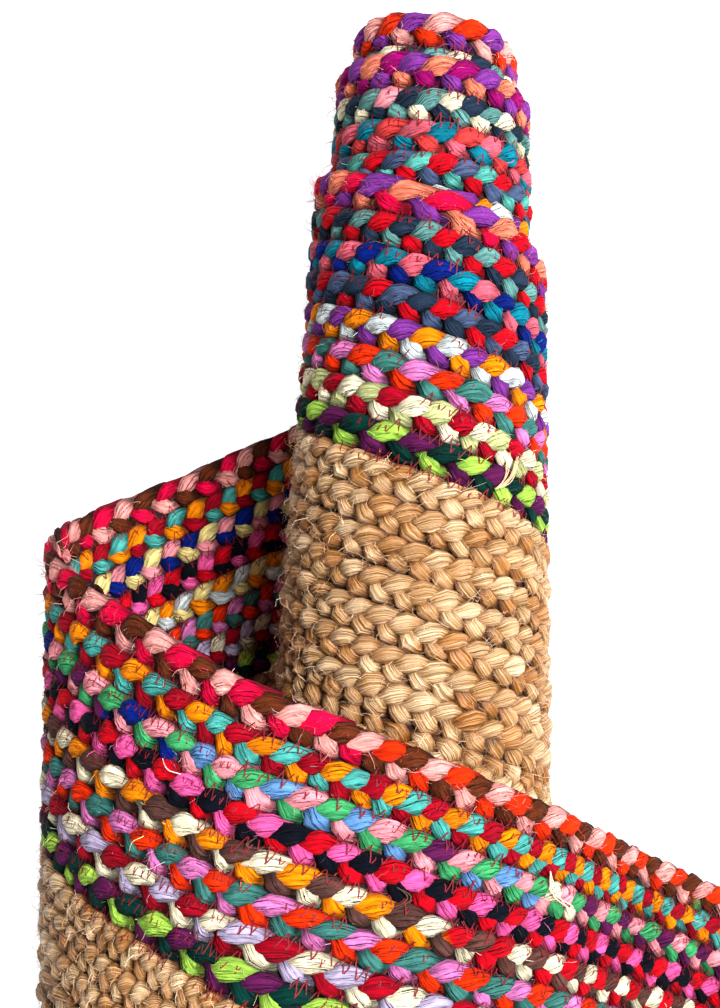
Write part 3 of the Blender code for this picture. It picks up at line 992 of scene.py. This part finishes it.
# Long loose ends that lie on the rug: colour, where each starts and ends (u, v), how far it bows
# sideways, and how many lie together
LOOSE_ENDS = (
    ("#fdf3e4", (1.704, 0.058), (1.720, 0.062), 0.003, 1),
    ("#f6e08c", (1.703, 0.115), (1.709, 0.102), -0.002, 1),
    ("#fdf3e4", (1.720, 0.110), (1.730, 0.114), 0.006, 1),
    ("#6a4a3a", (1.780, 0.073), (1.785, 0.080), 0.005, 2),
    ("#6a4a3a", (1.848, 0.072), (1.853, 0.085), -0.005, 2),
    ("#f4e4c0", (1.926, 0.035), (1.950, 0.055), 0.004, 4),
    ("#dcb890", (1.074, 0.155), (1.079, 0.134), 0.002, 9),
)
LOOSE_END_WIDTH = 0.0005
LOOSE_END_HEIGHT = 0.0064
LOOSE_END_RISE = 0.002
LOOSE_END_PLACES = 9
TUFT_SPREAD = 0.0015


def frayed_ends(name, rounds, tried, length, width, lift, colours_of, seed):
    """Loose short threads that stand off the strands, as thin bent ribbons."""
    rng = np.random.default_rng(seed)
    strips, colours = [], []
    share = np.linspace(0, 1, FRAY_PLACES)
    for round_ in rounds:
        for k in range(3):
            # Places are tried all along and thinned, so that most lie where they are seen
            t = np.sort(rng.uniform(0, round_.length, tried))
            u, v = on_line(round_.line, t, 0.0)
            s, _ = spread(u, v)
            seen = in_view(s, v)
            kept = KEPT_IN_PHOTO * seen**2 + KEPT_OUTSIDE * (seen > 0.2)
            t = t[rng.uniform(0, 1, len(t)) < kept]
            phase, side, height, side_slope, _, half_width, thick = round_.strand(k, t)
            face = np.where(rng.uniform(0, 1, len(t)) < FRONT_SHARE, 1, -1)
            across = rng.uniform(-1, 1, len(t))
            norm = np.sqrt(1 + side_slope**2)
            root_t = t - across * half_width * side_slope / norm
            root_side = side + across * half_width / norm
            root_up = height + face * thick * np.sqrt(1 - across**2) * ROOTED
            # Each end sets out any way, curls either way and rises off its strand
            size = length * rng.uniform(*FRAY_SIZES, len(t)) ** 1.5
            turn = rng.uniform(0, 2 * math.pi, len(t))
            curl = rng.uniform(-FRAY_CURL, FRAY_CURL, len(t))
            rise = face * lift * rng.uniform(*FRAY_RISES, len(t))
            aim = turn[:, None] + curl[:, None] * share
            arc_t = np.cumsum(np.cos(aim), 1) / FRAY_PLACES * size[:, None]
            arc_side = np.cumsum(np.sin(aim), 1) / FRAY_PLACES * size[:, None]
            arc_up = size[:, None] * rise[:, None] * np.sin(share * math.pi * 0.6)
            t_along = root_t[:, None] + (arc_t - arc_t[:, :1])
            side_along = root_side[:, None] + (arc_side - arc_side[:, :1])
            u, v = on_line(round_.line, t_along, side_along)
            spine = rolled(u, v, root_up[:, None] + arc_up)
            # The ribbon's flat side faces any way, and it tapers to its tip
            square = np.cross(np.gradient(spine, axis=1), rng.normal(size=(len(t), 1, 3)))
            square /= np.linalg.norm(square, axis=2, keepdims=True) + 1e-9
            taper = (width * (1 - FRAY_TAPER * share))[None, :, None]
            strip = np.stack([spine + square * taper / 2, spine - square * taper / 2], 2)
            strip[..., 2] = np.maximum(strip[..., 2], FLOOR_GAP)
            strips.append(strip)
            tones = rng.uniform(*FRAY_TONES, (len(t), 1))
            colours.append(np.minimum(BLEACHED + tones * colours_of(round_, k, t, phase), 1))
    return ribbon_mesh(name, strips, colours)


def loose_ends():
    """The longest loose ends, as narrow bowed ribbons over the braids."""
    rng = np.random.default_rng(LOOSE_END_SEED)
    share = np.linspace(0, 1, LOOSE_END_PLACES)
    strips, colours = [], []
    for colour, (u0, v0), (u1, v1), bow, together in LOOSE_ENDS:
        for _ in range(together):
            fan_u, fan_v = rng.uniform(-1, 1, 2) * TUFT_SPREAD * (together - 1) ** 0.5
            u = u0 + (u1 - u0 + fan_u) * share
            v = v0 + (v1 - v0 + fan_v) * share
            long = math.hypot(u[-1] - u[0], v[-1] - v[0])
            across_u, across_v = -(v[-1] - v[0]) / long, (u[-1] - u[0]) / long
            bent = bow * rng.uniform(0.5, 1.3) * np.sin(share * math.pi * 1.3)
            u, v = u + across_u * bent, v + across_v * bent
            off = LOOSE_END_HEIGHT + rng.uniform(0, LOOSE_END_RISE) * np.sin(share * math.pi)
            sides = [
                rolled(u + half * across_u, v + half * across_v, off)
                for half in (LOOSE_END_WIDTH / 2, -LOOSE_END_WIDTH / 2)
            ]
            strips.append(np.stack(sides, 1)[None])
            colours.append(np.array([linear(colour)]))
    return ribbon_mesh("loose_thread_ends", strips, colours)


for fray in FRAYS:
    piece = frayed_ends(*fray)
    piece.data.materials.append(plain_cloth(piece.name.replace("_ends", "_thread"), 0.8))
    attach(piece, "root")

threads = loose_ends()
threads.data.materials.append(plain_cloth("loose_thread", 0.8))
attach(threads, "root")

# ---- the sheet of painted shade in the braids' middle, in metres
SHADE_SHEET_INSET = 0.004
SHADE_SHEET_HALF = 0.0003
SHADE_SHEET_LONG = 280
SHADE_SHEET_WIDE = 11


def shade_sheet():
    """A thin dark sheet along the rug's dense middle, where the strands cross: painted shade that
    shows in the gaps between the strands.
    """
    us = np.linspace(SHADE_SHEET_INSET, LENGTH - SHADE_SHEET_INSET, SHADE_SHEET_LONG)
    vs = np.linspace(SHADE_SHEET_INSET, WIDTH - SHADE_SHEET_INSET, SHADE_SHEET_WIDE)
    grid_u, grid_v = np.meshgrid(us, vs, indexing="ij")
    front = rolled(grid_u, grid_v, SHADE_SHEET_HALF).reshape(-1, 3)
    back = rolled(grid_u, grid_v, -SHADE_SHEET_HALF).reshape(-1, 3)
    grid = np.arange(SHADE_SHEET_LONG * SHADE_SHEET_WIDE).reshape(SHADE_SHEET_LONG, SHADE_SHEET_WIDE)
    quads = [grid[:-1, :-1], grid[:-1, 1:], grid[1:, 1:], grid[1:, :-1]]
    top = np.stack(quads, -1).reshape(-1, 4)
    bottom = top[:, ::-1] + grid.size
    rim = np.concatenate([grid[0], grid[1:, -1], grid[-1, -2::-1], grid[-2:0:-1, 0]])
    after = np.roll(rim, -1)
    sides = np.stack([rim, rim + grid.size, after + grid.size, after], -1)
    points = np.concatenate([front, back])
    colours = np.tile(linear(SHADE_SHEET_DARK), (len(points), 1))
    return joined_mesh("seam_cloth", points, np.concatenate([top, bottom, sides]), colours)


shade_sheet_piece = shade_sheet()
shade_sheet_piece.data.materials.append(plain_cloth("painted_shade_cloth", 0.95))
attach(shade_sheet_piece, "root")

# ---- floor, light and camera
FLOOR_SIZE = 6
# Large soft lamps: name, place, width in metres and watts
LAMPS = (
    ("key_light", (1.1, 0.85, 2.0), 1.1, 134),
    ("fill_light", (-1.2, -0.8, 1.8), 2.0, 18),
)
LAMPS_AIM = (0, 0.1, 0)
WORLD_LIGHT = 0.14
# The photo is taken from above. Its middle row, and the row that the point straight below the
# camera falls on
EYE = (-0.1545, 0.2656, 0.80)
FOCAL_PIXELS = 1094
MIDDLE_ROW = 504
PLUMB_ROW = 565
LENS = 39.07
SENSOR = 36.0


def studio_floor():
    """White studio paper, matt, and lit so brightly that shadows stay faint on it."""
    bpy.ops.mesh.primitive_plane_add(size=FLOOR_SIZE, location=(0, 0, 0))
    plane = bpy.context.object
    plane.name = "floor"
    material, tree = new_material("white_studio_floor")
    paper = add(
        tree,
        "BsdfPrincipled",
        Base_Color=(0.20, 0.20, 0.20, 1),
        Roughness=0.9,
        Emission_Color=(1, 1, 1, 1),
        Emission_Strength=0.97,
    )
    add(tree, "OutputMaterial", Surface=paper)
    plane.data.materials.append(material)


def soft_light(name, place, size, watts):
    """A square lamp aimed at the roll."""
    light = bpy.data.lights.new(name, "AREA")
    light.shape = "SQUARE"
    light.size = size
    light.energy = watts
    lamp = bpy.data.objects.new(name, light)
    lamp.location = place
    lamp.rotation_euler = (Vector(LAMPS_AIM) - Vector(place)).to_track_quat("-Z", "Y").to_euler()
    scene.collection.objects.link(lamp)


studio_floor()
for lamp in LAMPS:
    soft_light(*lamp)

world = bpy.data.worlds.new("studio")
world.use_nodes = True
sky = world.node_tree.nodes["Background"].inputs
sky["Color"].default_value = (1, 1, 1, 1)
sky["Strength"].default_value = WORLD_LIGHT
scene.world = world
scene.view_settings.view_transform = "Standard"

camera = bpy.data.cameras.new("photo_camera")
camera.lens = LENS
camera.sensor_width = SENSOR
viewpoint = bpy.data.objects.new("photo_camera", camera)
viewpoint.location = EYE
viewpoint.rotation_euler = (math.atan((PLUMB_ROW - MIDDLE_ROW) / FOCAL_PIXELS), 0, 0)
scene.collection.objects.link(viewpoint)
scene.camera = viewpoint

bpy.context.view_layer.update()
